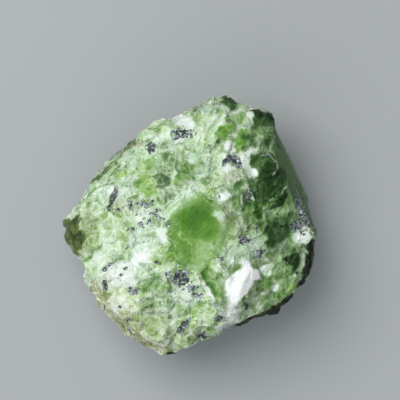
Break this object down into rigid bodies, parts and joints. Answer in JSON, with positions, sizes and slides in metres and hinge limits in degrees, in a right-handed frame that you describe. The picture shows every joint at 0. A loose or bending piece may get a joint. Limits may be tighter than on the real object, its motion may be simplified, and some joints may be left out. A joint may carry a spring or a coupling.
{
  "type": "diopside crystal",
  "caption": "Rough chunk of intergrown green diopside with white calcite and dark flakes, lying on its back.",
  "frame": {"origin": "on the resting plane, under the centre of the bounding box", "axes": "+Z out of the broken face, through the thickness of the chunk; +X to the right of that face, +Y to its top"},
  "size_m": [0.0632, 0.064, 0.038],
  "materials": {
    "diopside": "translucent pale to deep green crystals with glassy cleavage faces, white calcite, dark flakes and a brown weathered rim"
  },
  "bodies": {
    "root": {"diopside_crystal": "diopside"}
  },
  "joints": []
}
